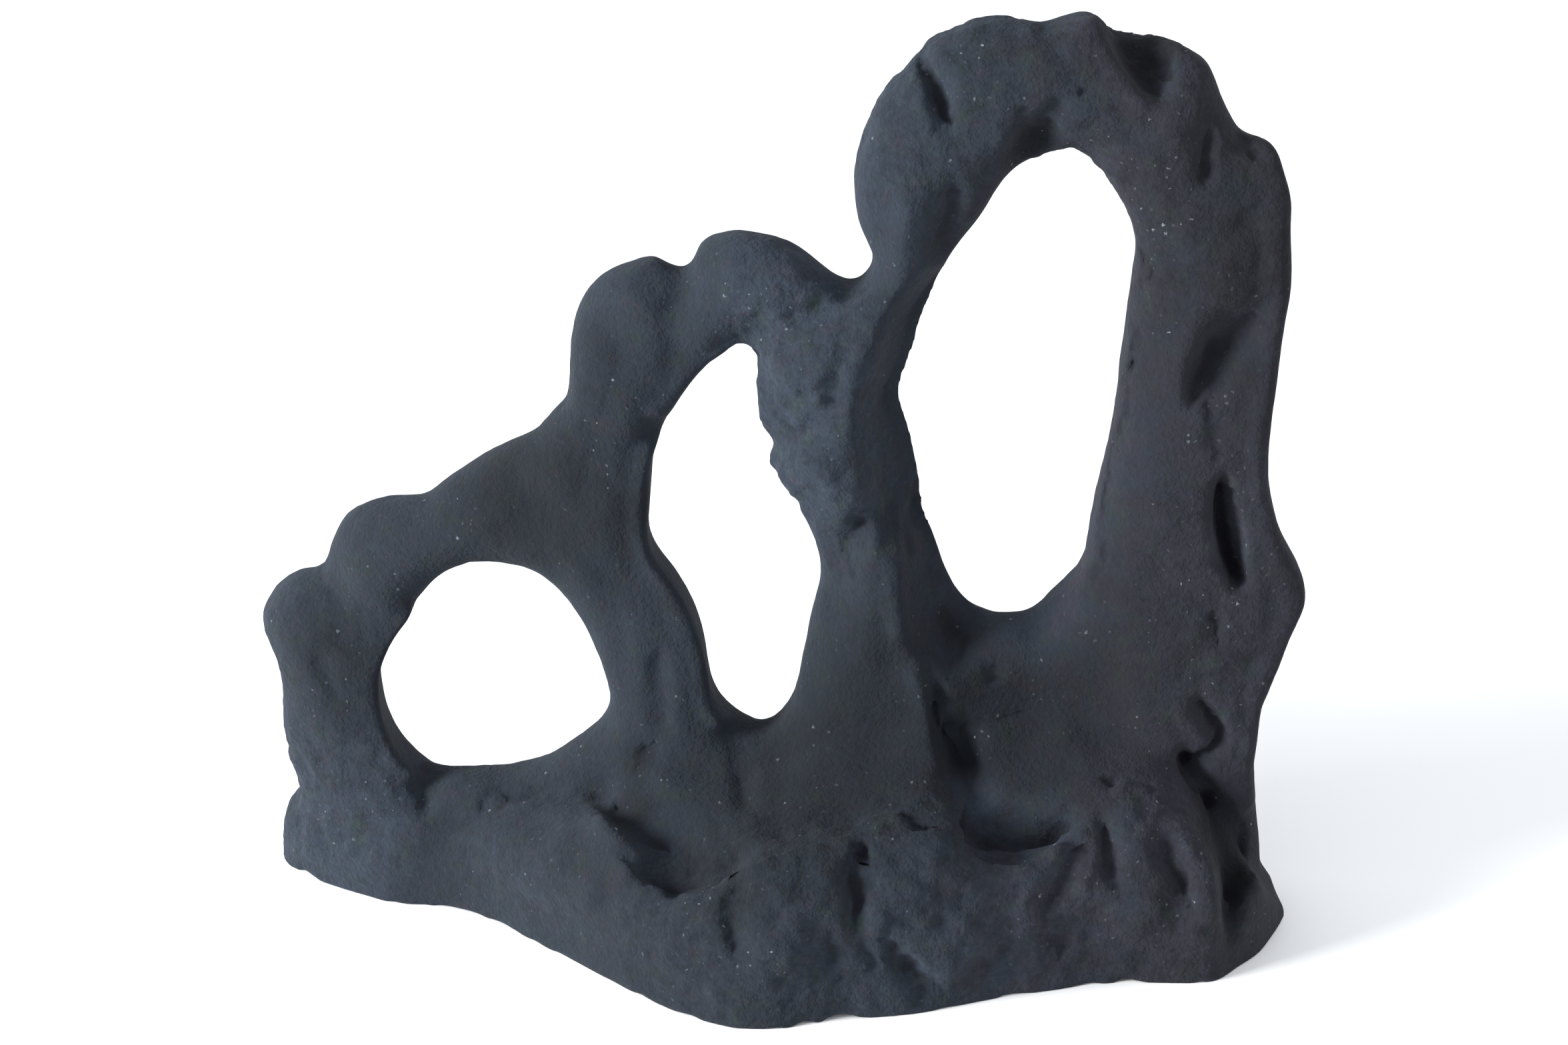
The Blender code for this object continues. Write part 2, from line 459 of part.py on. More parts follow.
def rock():
    """The finished rock as one object, its origin under the middle of its box."""
    body = joined([wall_mesh(), foot_mesh()])
    body = with_modifiers(body, ("REMESH", {"mode": "VOXEL", "voxel_size": BODY_VOXEL}),
                          ("SMOOTH", SMOOTHING))
    for marks in (TOWER_MARKS, PILLAR_MARKS, SCOOP_MARKS, LEFT_MARKS, LEDGE_MARKS, FOOT_MARKS,
                  BACK_MARKS):
        for mark in marks:
            press(body, **mark)
    unevenness(body)
    count = 2 * len(body.polygons)
    body = with_modifiers(body, ("DECIMATE", {"ratio": TRIANGLE_GOAL / count}))
    cut_flat(body)
    set_points(body, (points_of(body) - np.array([*CENTRE, 0.0])) * MM)
    print("box in mm:", (points_of(body).min(axis=0) / MM).round(1),
          (points_of(body).max(axis=0) / MM).round(1))
    body.name = "rock"
    thing = bpy.data.objects.new("rock", body)
    bpy.context.scene.collection.objects.link(thing)
    body.materials.clear()
    body.materials.append(stone())
    body.shade_smooth()
    return thing


def stone():
    """Dark slate-grey stone with a dry, sandy face."""
    material = bpy.data.materials.new("dark_stone")
    material.use_nodes = True
    shader = material.node_tree.nodes["Principled BSDF"]
    shader.inputs["Base Color"].default_value = (0.045, 0.052, 0.063, 1.0)
    shader.inputs["Roughness"].default_value = 0.95
    shader.inputs["Metallic"].default_value = 0.0
    return material


for old in list(bpy.data.objects):
    bpy.data.objects.remove(old)
rock()
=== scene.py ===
# %% [markdown]
# # A dark holey rock
#
# The rock is one upright wall of dark, sandy stone with three windows through it and a ledged
# foot. Its solid comes packed from the CAD step. Here it gets what a solid of a few thousand
# facets can't hold: crisp pits and creases, a gritty crust, and the stone itself.
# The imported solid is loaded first. Everything after it is placed in the same frame, in metres.

# %% Load the solid
import math

import bmesh
import bpy
import numpy as np
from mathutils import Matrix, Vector, kdtree, noise


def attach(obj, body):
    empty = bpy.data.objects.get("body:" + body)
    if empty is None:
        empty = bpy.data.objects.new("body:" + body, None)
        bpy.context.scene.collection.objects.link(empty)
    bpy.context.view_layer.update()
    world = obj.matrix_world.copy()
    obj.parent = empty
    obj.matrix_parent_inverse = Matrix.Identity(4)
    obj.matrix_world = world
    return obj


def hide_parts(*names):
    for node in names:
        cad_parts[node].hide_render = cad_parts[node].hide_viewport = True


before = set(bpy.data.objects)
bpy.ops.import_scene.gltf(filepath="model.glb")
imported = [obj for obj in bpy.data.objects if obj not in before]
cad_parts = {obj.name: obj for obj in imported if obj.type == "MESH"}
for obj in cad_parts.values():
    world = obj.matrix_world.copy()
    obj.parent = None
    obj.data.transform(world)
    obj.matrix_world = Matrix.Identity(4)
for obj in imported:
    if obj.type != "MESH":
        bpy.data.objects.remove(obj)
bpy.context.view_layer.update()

MM = 0.001                      # one millimetre in metres

# %% [markdown]
# ## The studio
#
# A dark object on a pale floor needs a soft light from one side, so that every dent has a lit lip
# and a shaded bed. The key light stands far to the left, low and a little in front. The world is
# an even white that lifts the shadows. The camera looks down at the rock by twenty degrees.

# %% Measures, colours and directions
ZERO = np.array([3.0, -2.2, 0.0])       # mm, where the drawing's zero lies in the rock's frame
CAMERA_DISTANCE = 0.680         # lengths of the studio are in metres
CAMERA_ELEVATION = math.radians(20)
CAMERA_LENS_MM = 65
AIM_HEIGHT = 0.1085
FLOOR_HALF_SIZE = 6.0
PAPER_WHITE = "#FCFCFC"
PAPER_ROUGHNESS = 0.9
ROOM_WHITE = "#F8FBFF"
ROOM_STRENGTH = 1.03
KEY_AZIMUTH = math.radians(-65)
KEY_ELEVATION = math.radians(13)
KEY_DISTANCE = 1.9
KEY_SIZE = 0.65
KEY_WATTS = 84


def linear(hex_colour):
    """An sRGB hex colour as linear red, green, blue, alpha."""
    channels = [int(hex_colour[place:place + 2], 16) / 255 for place in (1, 3, 5)]
    curve = [c / 12.92 if c <= 0.04045 else ((c + 0.055) / 1.055) ** 2.4 for c in channels]
    return (*curve, 1.0)


def plain_material(name, colour, roughness):
    """An even matte finish."""
    material = bpy.data.materials.new(name)
    material.use_nodes = True
    shader = material.node_tree.nodes["Principled BSDF"]
    shader.inputs["Base Color"].default_value = colour
    shader.inputs["Roughness"].default_value = roughness
    return material


def direction(azimuth, elevation):
    """A unit vector; azimuth 0 is towards the viewer, below zero to the left."""
    return Vector((math.sin(azimuth) * math.cos(elevation),
                   -math.cos(azimuth) * math.cos(elevation), math.sin(elevation)))


print("key light", round(math.degrees(KEY_AZIMUTH)), "degrees round from the viewer")

# %% Floor, world, light and camera
scene = bpy.context.scene
scene.view_settings.view_transform = "Standard"

floor_shape = bmesh.new()
bmesh.ops.create_grid(floor_shape, x_segments=1, y_segments=1, size=FLOOR_HALF_SIZE)
floor_mesh = bpy.data.meshes.new("floor")
floor_shape.to_mesh(floor_mesh)
floor_shape.free()
floor = bpy.data.objects.new("floor", floor_mesh)
floor_mesh.materials.append(plain_material("white_paper", linear(PAPER_WHITE), PAPER_ROUGHNESS))
scene.collection.objects.link(floor)

world = bpy.data.worlds.new("white_room")
scene.world = world
world.use_nodes = True
background = world.node_tree.nodes["Background"]
background.inputs["Color"].default_value = linear(ROOM_WHITE)
background.inputs["Strength"].default_value = ROOM_STRENGTH

aim = Vector(ZERO) * MM + Vector((0.0, 0.0, AIM_HEIGHT))
key = bpy.data.objects.new("key", bpy.data.lights.new("key", "AREA"))
key.data.size = KEY_SIZE
key.data.energy = KEY_WATTS
towards_key = direction(KEY_AZIMUTH, KEY_ELEVATION)
key.location = aim + KEY_DISTANCE * towards_key
key.rotation_euler = towards_key.to_track_quat("Z", "Y").to_euler()
scene.collection.objects.link(key)

camera = bpy.data.objects.new("camera", bpy.data.cameras.new("camera"))
camera.data.lens = CAMERA_LENS_MM
camera.location = aim + CAMERA_DISTANCE * direction(0.0, CAMERA_ELEVATION)
camera.rotation_euler = (math.pi / 2 - CAMERA_ELEVATION, 0.0, 0.0)
scene.collection.objects.link(camera)
scene.camera = camera
print("camera at, mm:", [round(value / MM, 1) for value in camera.location])

# %% [markdown]
# ## A fine skin over the solid
#
# The solid's mesh is loose triangles, so a copy is welded first. A subdivision surface rounds its
# facets, and a voxel remesh then gives one even net of small quads, which can be pushed and pulled
# anywhere. The net is about as fine as the smallest dent that should catch a shadow.

# %% Copy, weld, round and remesh
WELD_DISTANCE = 0.001 * MM
SKIN_VOXEL = 0.80 * MM
SKIN_SMOOTHING = {"factor": 0.5, "iterations": 12}


def evaluated(mesh, *modifiers):
    """The mesh after a stack of modifiers, each given as (type, settings)."""
    holder = bpy.data.objects.new("holder", mesh)
    scene.collection.objects.link(holder)
    for kind, settings in modifiers:
        modifier = holder.modifiers.new(kind.lower(), kind)
        for name, value in settings.items():
            setattr(modifier, name, value)
    graph = bpy.context.evaluated_depsgraph_get()
    result = bpy.data.meshes.new_from_object(holder.evaluated_get(graph))
    bpy.data.objects.remove(holder)
    return result


welded = bmesh.new()
welded.from_mesh(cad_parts["rock"].data)
bmesh.ops.remove_doubles(welded, verts=welded.verts, dist=WELD_DISTANCE)
skin = bpy.data.meshes.new("rock_skin")
welded.to_mesh(skin)
welded.free()
skin = evaluated(skin, ("SUBSURF", {"levels": 1, "render_levels": 1}),
                 ("REMESH", {"mode": "VOXEL", "voxel_size": SKIN_VOXEL}),
                 ("SMOOTH", SKIN_SMOOTHING))
print("net:", len(skin.vertices), "points")

# %% [markdown]
# ## Pits, notches, grooves and lumps
#
# Each mark is a short path over the surface: points (x, y, z, half width) in mm from the drawing's
# zero, and a depth in mm that is below zero for a lump. The mark moves only the surface that faces
# the way it is pressed. Its rim is wobbled by noise, as broken stone is never cut clean.
# lean moves the deepest line to one side of the path: below zero the side on the left of the
# upward way is steep. edge 1 gives a crisp rim and 2 a soft one.

# %% Sculpting tools
FRONT = (0.0, 1.0, 0.0)
FRONT_TOP = (0.0, 0.64, -0.77)
SURFACE_REACH = 13.0            # mm that a mark's surface may lie off the mark's path
SEARCH_MARGIN = 2.0             # mm round a mark in which points may still belong to it
RIM_WOBBLE = [(12.0, 4.0), (5.0, 2.6), (2.2, 1.3)]      # size and width of the unevenness, mm
WOBBLE_SEED = 1                 # keeps the unevenness the same in every run
LUMP_WOBBLE = 0.25              # how much of that unevenness a lump's outline gets
LUMP_FACING = 0.15              # how far a face must look towards the mark to rise in a lump
FACING_FADE = 0.35              # over how much turning a mark fades out


def points_of(mesh):
    """The mesh's points in mm from the drawing's zero."""
    flat = np.empty(len(mesh.vertices) * 3)
    mesh.vertices.foreach_get("co", flat)
    return flat.reshape(-1, 3) / MM - ZERO


def set_points(mesh, points):
    """Moves the mesh's points, given in mm from the drawing's zero."""
    mesh.vertices.foreach_set("co", ((points + ZERO) * MM).ravel())
    mesh.update()


def normals_of(mesh):
    """The mesh's point normals."""
    flat = np.empty(len(mesh.vertices) * 3)
    mesh.vertex_normals.foreach_get("vector", flat)
    return flat.reshape(-1, 3)


def fade(values, low, high):
    """A soft step from 0 at low to 1 at high."""
    t = np.clip((values - low) / (high - low), 0.0, 1.0)
    return t * t * (3.0 - 2.0 * t)


def distance_to(points, centre):
    """How far each point lies from a centre."""
    return np.sqrt(((points - centre) ** 2).sum(axis=1))


def wobble(points):
    """A small noise shift for every point, in mm."""
    noise.seed_set(WOBBLE_SEED)
    shifts = np.zeros_like(points)
    for size, width in RIM_WOBBLE:
        shifts += np.array([noise.noise_vector(Vector(point) / size) for point in points]) * width
    return shifts


print("a mark's rim wanders on scales of", [size for size, _ in RIM_WOBBLE], "mm")


# %% Press a mark
def press(points, normals, shifts, path, depth, into=FRONT, lean=0.0, edge=1.2, ragged=1.0):
    """Presses a dent (or raises a lump) along a path into the surface that faces it."""
    way = np.array(into) / np.linalg.norm(into)
    rows = np.array(path, dtype=float)
    right = np.cross(way, (0.0, 0.0, 1.0))
    right = right / np.linalg.norm(right)
    up = np.cross(right, way)
    widest = rows[:, 3].max() * (1.0 + abs(lean)) + SEARCH_MARGIN
    low = rows[:, :3].min(axis=0) - widest
    high = rows[:, :3].max(axis=0) + widest
    low -= np.abs(way) * SURFACE_REACH
    high += np.abs(way) * SURFACE_REACH
    close_by = np.nonzero(((points > low) & (points < high)).all(axis=1))[0]
    here = points[close_by]
    wobbled = here + shifts[close_by] * (ragged if depth > 0.0 else LUMP_WOBBLE)
    flat = np.column_stack([wobbled @ right, wobbled @ up])
    knots = np.column_stack([rows[:, :3] @ right, rows[:, :3] @ up])
    sink = here @ way
    share = np.zeros(len(here))
    for first in range(max(1, len(rows) - 1)):
        last = min(first + 1, len(rows) - 1)
        run = knots[last] - knots[first]
        length = max(np.linalg.norm(run), 1e-6)
        along = np.clip(((flat - knots[first]) @ run) / length ** 2, 0.0, 1.0)
        offset = flat - knots[first] - along[:, None] * run
        side = (offset[:, 0] * run[1] - offset[:, 1] * run[0]) / length
        reach = rows[first, 3] + along * (rows[last, 3] - rows[first, 3])
        reach = np.where(side < 0.0, reach * (1.0 + lean), reach * (1.0 - lean))
        near = 1.0 - np.clip((offset ** 2).sum(axis=1) / reach ** 2, 0.0, 1.0)
        level = rows[first, :3] @ way + along * ((rows[last, :3] - rows[first, :3]) @ way)
        close = 1.0 - fade(np.abs(sink - level), 0.7 * SURFACE_REACH, SURFACE_REACH)
        share = np.maximum(share, near ** edge * close)
    least = 0.0 if depth > 0.0 else LUMP_FACING
    facing = fade(-(normals[close_by] @ way), least, least + FACING_FADE)
    points[close_by] = here + np.outer(depth * share * facing, way)


def press_all(mesh, marks, shifts):
    """Presses a list of marks into the mesh."""
    points = points_of(mesh)
    normals = normals_of(mesh)
    for mark in marks:
        press(points, normals, shifts, **mark)
    set_points(mesh, points)
    print("pressed", len(marks), "marks")


# %% [markdown]
# ## Broad forms first
#
# Water and sand have melted this stone's forms together in some places and left sharp rims in
# others. Three tools do that to the whole skin, before any small mark is made: soft zones lose
# their ridges, the front rims of the windows are made squarer so that they cut a clean outline,
# and the lower edge comes down to the ground with hardly any rounding, as the rock stands on it.

# %% Tools for broad forms
def soften(mesh, zones, passes):
    """Melts the forms in round zones: every point moves towards its neighbours' middle."""
    points = points_of(mesh)
    ends = np.empty(len(mesh.edges) * 2, dtype=np.int64)
    mesh.edges.foreach_get("vertices", ends)
    ends = ends.reshape(-1, 2)
    share = np.zeros(len(points))
    for *centre, radius in zones:
        share = np.maximum(share, 1.0 - fade(distance_to(points, centre), 0.5 * radius, radius))
    chosen = np.nonzero(share > 0.0)[0]
    ends = ends[(share[ends] > 0.0).any(axis=1)]
    first, last = ends.T
    count = np.bincount(ends.ravel(), minlength=len(points))[chosen, None]
    for _ in range(passes):
        total = np.column_stack([
            np.bincount(first, points[last, axis], len(points))
            + np.bincount(last, points[first, axis], len(points)) for axis in range(3)])
        middle = total[chosen] / count
        points[chosen] += 0.5 * share[chosen, None] * (middle - points[chosen])
    set_points(mesh, points)


def square_off(mesh, path, reach, thickness, power, slide=0.0):
    """Makes a rounded edge along a path squarer and slides its front to the right by slide.

    The path lies on the front face; the edge is thickness deep and reach wide.
    """
    points = points_of(mesh)
    rows = np.array(path, dtype=float)
    share = np.zeros(len(points))
    front = np.zeros(len(points))
    for start, end in zip(rows[:-1], rows[1:]):
        run = (end - start)[[0, 2]]
        offset = points[:, [0, 2]] - start[[0, 2]]
        along = np.clip(offset @ run / (run @ run), 0.0, 1.0)
        gap = np.linalg.norm(offset - along[:, None] * run, axis=1)
        here = 1.0 - fade(gap, 0.4 * reach, reach)
        front = np.where(here > share, start[1] + along * (end[1] - start[1]), front)
        share = np.maximum(share, here)
    behind = np.clip((points[:, 1] - front) / thickness, 0.0, 1.0)
    points[:, 1] += share * thickness * (behind ** power - behind)
    points[:, 0] += share * slide * (1.0 - behind)
    set_points(mesh, points)


def square_base(mesh, height, power):
    """Makes the rounded lower edge squarer, up to a height above the ground."""
    points = points_of(mesh)
    low = np.clip(points[:, 2] / height, 0.0, 1.0)
    points[:, 2] += height * (low ** power - low)
    set_points(mesh, points)
    print("points in the lower edge:", int((low < 1.0).sum()))


# %% Soften and square off
SOFT_ZONES = [                  # (x, y, z, radius) in mm
    (-31, -15, 31, 15), (-43, 2, 36, 14), (-49, 9, 31, 9), (-12, 7, 46, 10), (41, 4, 54, 11),
    (107, 1, 159, 9), (108, -9, 26, 14), (15, 2, 101, 8), (-113, 27, 77, 12), (-31, 11, 165, 6),
    (-92, 26, 28, 7), (46, -8, 41, 9)]
SOFT_PASSES = 160
RIMS = [
    # left walls of the left and the middle window, and the middle window's top
    dict(path=[(-101, 23.7, 74), (-104, 24, 66), (-106, 24, 57), (-106, 23.5, 45),
               (-101, 22.7, 34)], reach=9, thickness=15, power=2.8, slide=2.2),
    dict(path=[(-31, 8.4, 120), (-33, 8.1, 107), (-31, 8.2, 97), (-26, 7.5, 88), (-22, 6.6, 76),
               (-19, 6, 66), (-16.5, 5.6, 57)], reach=8, thickness=13, power=2.6, slide=0.8),
    dict(path=[(-6, 5, 158), (-15, 7.3, 152), (-23, 7.0, 145), (-29, 8, 136)],
         reach=7, thickness=11, power=2.2),
    # the rock's right side, and the column's edge above the pit
    dict(path=[(113, 1, 197), (116.5, -1, 183), (118, -1.5, 168), (117, -1.2, 150),
               (116, -1.5, 130), (117.5, -1, 113), (122, -0.8, 100), (126.5, -0.8, 90),
               (124, -0.6, 78), (121, -0.4, 66), (118, 0, 52), (117.5, -0.8, 38)],
         reach=9, thickness=11, power=3.0),
    dict(path=[(36, -9.5, 53), (36.5, -11.5, 48), (37.5, -15, 43)],
         reach=9, thickness=16, power=1.2, slide=3.0)]
BASE_EDGE = dict(height=7.0, power=2.4)         # mm above the ground, and how square

soften(skin, SOFT_ZONES, SOFT_PASSES)
for rim in RIMS:
    square_off(skin, **rim)
square_base(skin, **BASE_EDGE)
print("softened", len(SOFT_ZONES), "zones and squared", len(RIMS), "rims")

# %% [markdown]
# ## Where the marks lie
#
# Stone like this breaks in its own way in each place, so every mark is placed one by one: slits and
# a notch on the tower, knobs and pits on the crusty pillar, faint grooves on the worn left arches,
# crescent hollows behind the ledge's rim, and short clefts down the front of the foot.

# %% Broad lumps
BROAD_LUMPS = [
    dict(path=[(-57, 13, 118, 10), (-52, 13, 132, 9), (-47, 10, 149, 8)], depth=-2.4, edge=1.6),
    dict(path=[(-50, 10, 90, 7), (-46, 10, 75, 7), (-45, 10, 60, 6)], depth=-1.4, edge=1.6),
    dict(path=[(28.8, 1, 84, 6), (29, 0, 93, 7.2), (29, 1, 101, 6.6)], depth=-4.2, edge=1.8),
    dict(path=[(40.5, 5, 53, 4.5), (40.5, 5, 58, 4)], depth=-2.0, edge=1.4),
    dict(path=[(-74, 2, 22, 11), (-61, -8, 22, 12), (-50, -18, 22, 10)], depth=-3.4, edge=1.6)]
print("broad lumps:", len(BROAD_LUMPS))

# %% Marks on the tower and the right flank
TOWER_MARKS = [
    # slit on the shoulder with a raised left lip
    dict(path=[(37.2, -1.5, 206.5, 1.8), (35, 0, 211, 3.0), (33, 2, 215, 2.6),
               (30.6, 5, 219.5, 1.6)], depth=1.4, lean=-0.5, ragged=0.5),
    dict(path=[(33.5, -1, 206, 3), (30.5, 1, 213, 3.4)], depth=-0.7, lean=0.4),
    # notch in the crown and hollow over the right window
    dict(path=[(84.5, 6, 216.5, 3.4), (81, 9, 218.6, 4.2), (79.3, 11.5, 220, 3.2)], depth=1.5,
         into=(0.0, 0.9, -0.44), lean=-0.6, ragged=0.3),
    dict(path=[(81, -1, 212, 2.6), (78, -1, 215.5, 2.8), (74.5, 0, 221, 2.8)], depth=-0.7,
         lean=0.4),
    dict(path=[(56, 6, 199, 4), (59.5, 5, 202.5, 4.6)], depth=1.5, edge=1.3, ragged=0.3),
    dict(path=[(61, -2, 207, 2.4), (63.5, -2.4, 212, 2.2)], depth=0.9, edge=1.4),
    dict(path=[(69.5, -2, 213.6, 2.6)], depth=0.9, edge=1.4),
    dict(path=[(54.5, -2, 207.5, 2.4)], depth=0.9),
    dict(path=[(37, 1.4, 177, 3.4), (38, 0, 182, 3.6), (39.3, -1.5, 190, 2.4)], depth=0.9,
         lean=-0.3, edge=1.4, ragged=0.6),
    dict(path=[(96.8, -1, 193, 1.8), (96, 0, 201.5, 2.5)], depth=1.4, lean=-0.5, ragged=0.6),
    dict(path=[(109.6, 4.8, 198.8, 3.2)], depth=1.3),
    dict(path=[(106.7, -1.5, 184, 3.4)], depth=0.9, edge=1.4),
    # long hollow and dark slot on the right flank
    dict(path=[(103, 0, 131, 6), (104, 2, 143, 8.5), (106.5, 2, 154, 8.5), (110, 1, 163, 6)],
         depth=1.5, lean=-0.2, edge=1.6, ragged=0.7),
    dict(path=[(99.5, -1, 138, 1.6), (99.3, 2, 143, 4.6), (102, 3, 148.5, 5.4),
               (105.5, 2.5, 154, 4.6), (109, 1, 159, 2.6)], depth=1.2, lean=-0.35, edge=1.4,
         ragged=0.6),
    dict(path=[(109.5, 2, 93.5, 2.3), (108.1, 2, 99.5, 3.8), (106.6, 2, 107.5, 3.8),
               (105.9, 1, 114.5, 2.5)], depth=5.5, lean=-0.15, edge=0.8, ragged=0.3),
    dict(path=[(104, -2, 79.5, 2.0), (104, -2, 84, 2.2)], depth=1.2, lean=-0.4),
    # fine groove and nick beside the right window, and the narrow bevel along its right wall
    dict(path=[(84.6, 3, 151.5, 1.1), (85, 3, 159.5, 1.1)], depth=0.9),
    dict(path=[(82.8, 3.6, 144, 1.9)], depth=0.9),
    dict(path=[(75.6, 4, 93, 2.4), (78, 4, 101, 2.0), (79.8, 4, 114, 1.7), (82, 4, 127, 1.4),
               (83.2, 4, 145, 1.2), (84.4, 4, 165, 1.2), (85.2, 4, 173, 1.0)], depth=1.3, lean=0.5),
    # crescent groove over the right end of the ledge
    dict(path=[(98.7, 1, 43.2, 1.4), (102.7, -2.7, 45.6, 1.1), (106.6, -1.6, 49, 1.4),
               (107, -1.4, 53, 1.5), (104.5, -1, 58, 1.2), (102, -1.4, 61.5, 1.0)],
         depth=1.7, edge=1.0, ragged=0.5),
    # the cleft at the right end: its left wall is steep, its right side rises slowly
    dict(path=[(98.7, 2, 42.7, 1.4), (101.4, 0, 39.5, 1.8), (104.5, -2, 36.5, 2.8)], depth=1.3,
         into=FRONT_TOP, lean=0.3, ragged=0.4),
    dict(path=[(105, -2, 36.5, 2.6), (107.5, -5, 32.5, 5), (109, -9, 28, 6), (109.5, -12, 23, 5.4),
               (109, -15, 17, 3.6)], depth=7.0, into=(0.0, 0.85, -0.53), lean=0.35, edge=0.9,
         ragged=0.3)]
print("marks on the tower and the flank:", len(TOWER_MARKS))

# %% Marks on the pillar
PILLAR_MARKS = [
    # a ridge between the crusty lobes and the smooth facet that falls to the right window
    dict(path=[(20, -1, 90, 7), (17, -1, 112, 7), (15, -1, 128, 10), (14, -1, 146, 10),
               (20, -1, 162, 7)], depth=-1.8, edge=1.5),
    dict(path=[(26, 4, 113, 4.4), (24.5, 0, 121, 7), (22.3, 0, 141, 7.5), (27.5, 0, 154, 7),
               (33, 0, 166, 5)], depth=2.2, edge=1.2, ragged=0.35),
    dict(path=[(2, 1, 145.6, 6)], depth=-1.5, edge=1.3),
    dict(path=[(6, 0, 124, 7)], depth=-1.6, edge=1.3),
    dict(path=[(10, -1, 113.5, 4.5)], depth=-1.1, edge=1.3),
    dict(path=[(3, 1, 135, 4)], depth=-1.0, edge=1.3),
    dict(path=[(11, -1, 158, 4.5)], depth=-1.0, edge=1.3),
    dict(path=[(-1, 3, 157, 4)], depth=-0.9, edge=1.3),
    dict(path=[(14, -1.3, 152, 3.4)], depth=1.0),
    dict(path=[(10.6, -1, 138.5, 1.8), (11.4, -1, 147, 2.4)], depth=0.6, lean=-0.3),
    dict(path=[(4.6, 0.5, 143.4, 2.4)], depth=0.6),
    dict(path=[(8.5, -1, 134, 2.6)], depth=0.7),
    dict(path=[(0.6, 1.3, 152, 3)], depth=0.8),
    dict(path=[(-2, 3, 129.5, 2.4), (6, 0, 131.5, 2.2)], depth=0.7),
    dict(path=[(16.2, 3, 96.5, 2.0), (15.6, 5, 102.5, 3.4), (20, 2, 107.5, 2.8),
               (26, 1, 109.5, 2.8)], depth=1.2, lean=-0.3, edge=1.3, ragged=0.4),
    # the middle arch runs back behind the pillar's crust
    dict(path=[(18, -2, 167, 4), (8, -1.5, 163, 5), (-3, 1, 158.5, 3.5)], depth=1.2, lean=-0.6,
         edge=1.5, ragged=0.3),
    # valley beside the column, pit at the foot of the scoop, ridge between them
    dict(path=[(38.5, -0.6, 78, 5), (37, 1, 87, 4)], depth=1.1, lean=-0.4, edge=1.5, ragged=0.6),
    dict(path=[(43.5, 3, 83, 9)], depth=1.0, edge=2.0, ragged=0.5),
    dict(path=[(36.8, 1, 60.5, 1.0), (37, 1, 54, 1.4), (39.2, 2, 49.5, 2.4), (41, 1, 45, 3.0),
               (42.8, -2, 42, 2.4)], depth=2.8, lean=0.15, edge=1.0, ragged=0.12),
    dict(path=[(36.2, -5, 60, 2.4), (32.4, -2, 72, 3)], depth=-1.1),
    dict(path=[(46, -4, 54, 1.4), (58, -3, 55.5, 1.2)], depth=0.7),
    dict(path=[(42.8, -1, 71, 1.3), (39.6, 0, 81.5, 1.3)], depth=0.9, lean=-0.3),
    dict(path=[(50.7, -1.6, 69.6, 2.2)], depth=1.2, lean=-0.3)]
print("marks on the pillar:", len(PILLAR_MARKS))

# %% Marks on the left arches and the ledge
LEFT_MARKS = [
    dict(path=[(-112.5, 28, 75, 1.6), (-115, 31, 78.5, 2.2), (-118, 33, 81.5, 1.6)], depth=0.5,
         lean=-0.4, edge=1.4, ragged=0.4),
    dict(path=[(-107.5, 24, 68, 1.8), (-107, 24, 76, 1.8)], depth=0.6, lean=-0.3, ragged=0.5),
    dict(path=[(-116.5, 23, 53, 2.4), (-118, 23, 61, 2.4)], depth=0.7, lean=-0.3, edge=1.4),
    dict(path=[(-93.5, 20, 22, 2.0), (-93.5, 24, 26, 3.4), (-94, 28, 31, 3.4)], depth=0.6,
         lean=-0.3, edge=1.5, ragged=0.3),
    dict(path=[(-63, 14.5, 30, 2.0), (-74, 17, 28.6, 1.8)], depth=0.9, into=FRONT_TOP),
    dict(path=[(-62, 8, 108, 15), (-50, 8, 118, 12)], depth=1.6, edge=1.6),
    dict(path=[(-30, 5, 53, 3.4), (-31.5, 5, 62, 4), (-31.5, 5, 70, 3)], depth=0.5, lean=-0.4,
         edge=2.0, ragged=0.5)]

